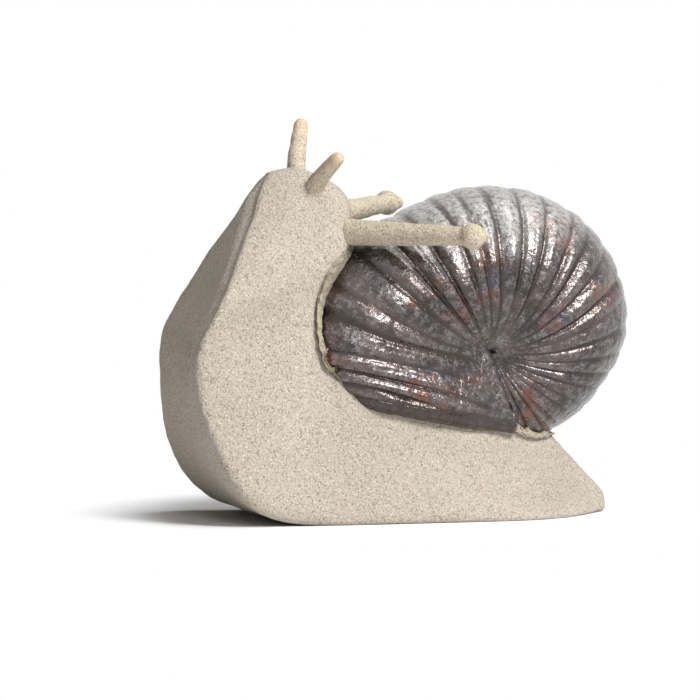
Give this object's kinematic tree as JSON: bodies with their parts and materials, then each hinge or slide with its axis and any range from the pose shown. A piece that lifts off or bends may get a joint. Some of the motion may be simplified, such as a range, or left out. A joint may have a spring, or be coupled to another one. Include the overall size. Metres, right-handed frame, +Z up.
{
  "type": "snail figurine",
  "caption": "Small stoneware snail ornament with a raised head, a ribbed glazed coil shell, rolled eye stalks with ball ends, and short feelers.",
  "frame": {"origin": "on the ground plane, below the middle of the figurine's length and of its width across the eyes", "axes": "+Z up from the ground, +X along the snail from its chest to its tail, so that it looks towards -X, and +Y across it towards its right side"},
  "size_m": [0.0568, 0.038, 0.048],
  "materials": {
    "bare_clay": "unglazed sandy stoneware, rough and matt",
    "rolled_clay": "unglazed sandy stoneware with a warm tint towards the tips",
    "shell_glaze": "glossy dark bronze metallic glaze that breaks rust red on the edges",
    "seam_slip": "olive stained slip, half matt"
  },
  "bodies": {
    "root": {"body": "bare_clay", "shell": "shell_glaze", "seam_bead": "seam_slip", "near_eye_stalk": "rolled_clay", "near_eye_ball": "rolled_clay", "near_feeler": "rolled_clay", "far_eye_stalk": "rolled_clay", "far_eye_ball": "rolled_clay", "far_feeler": "rolled_clay"}
  },
  "joints": []
}
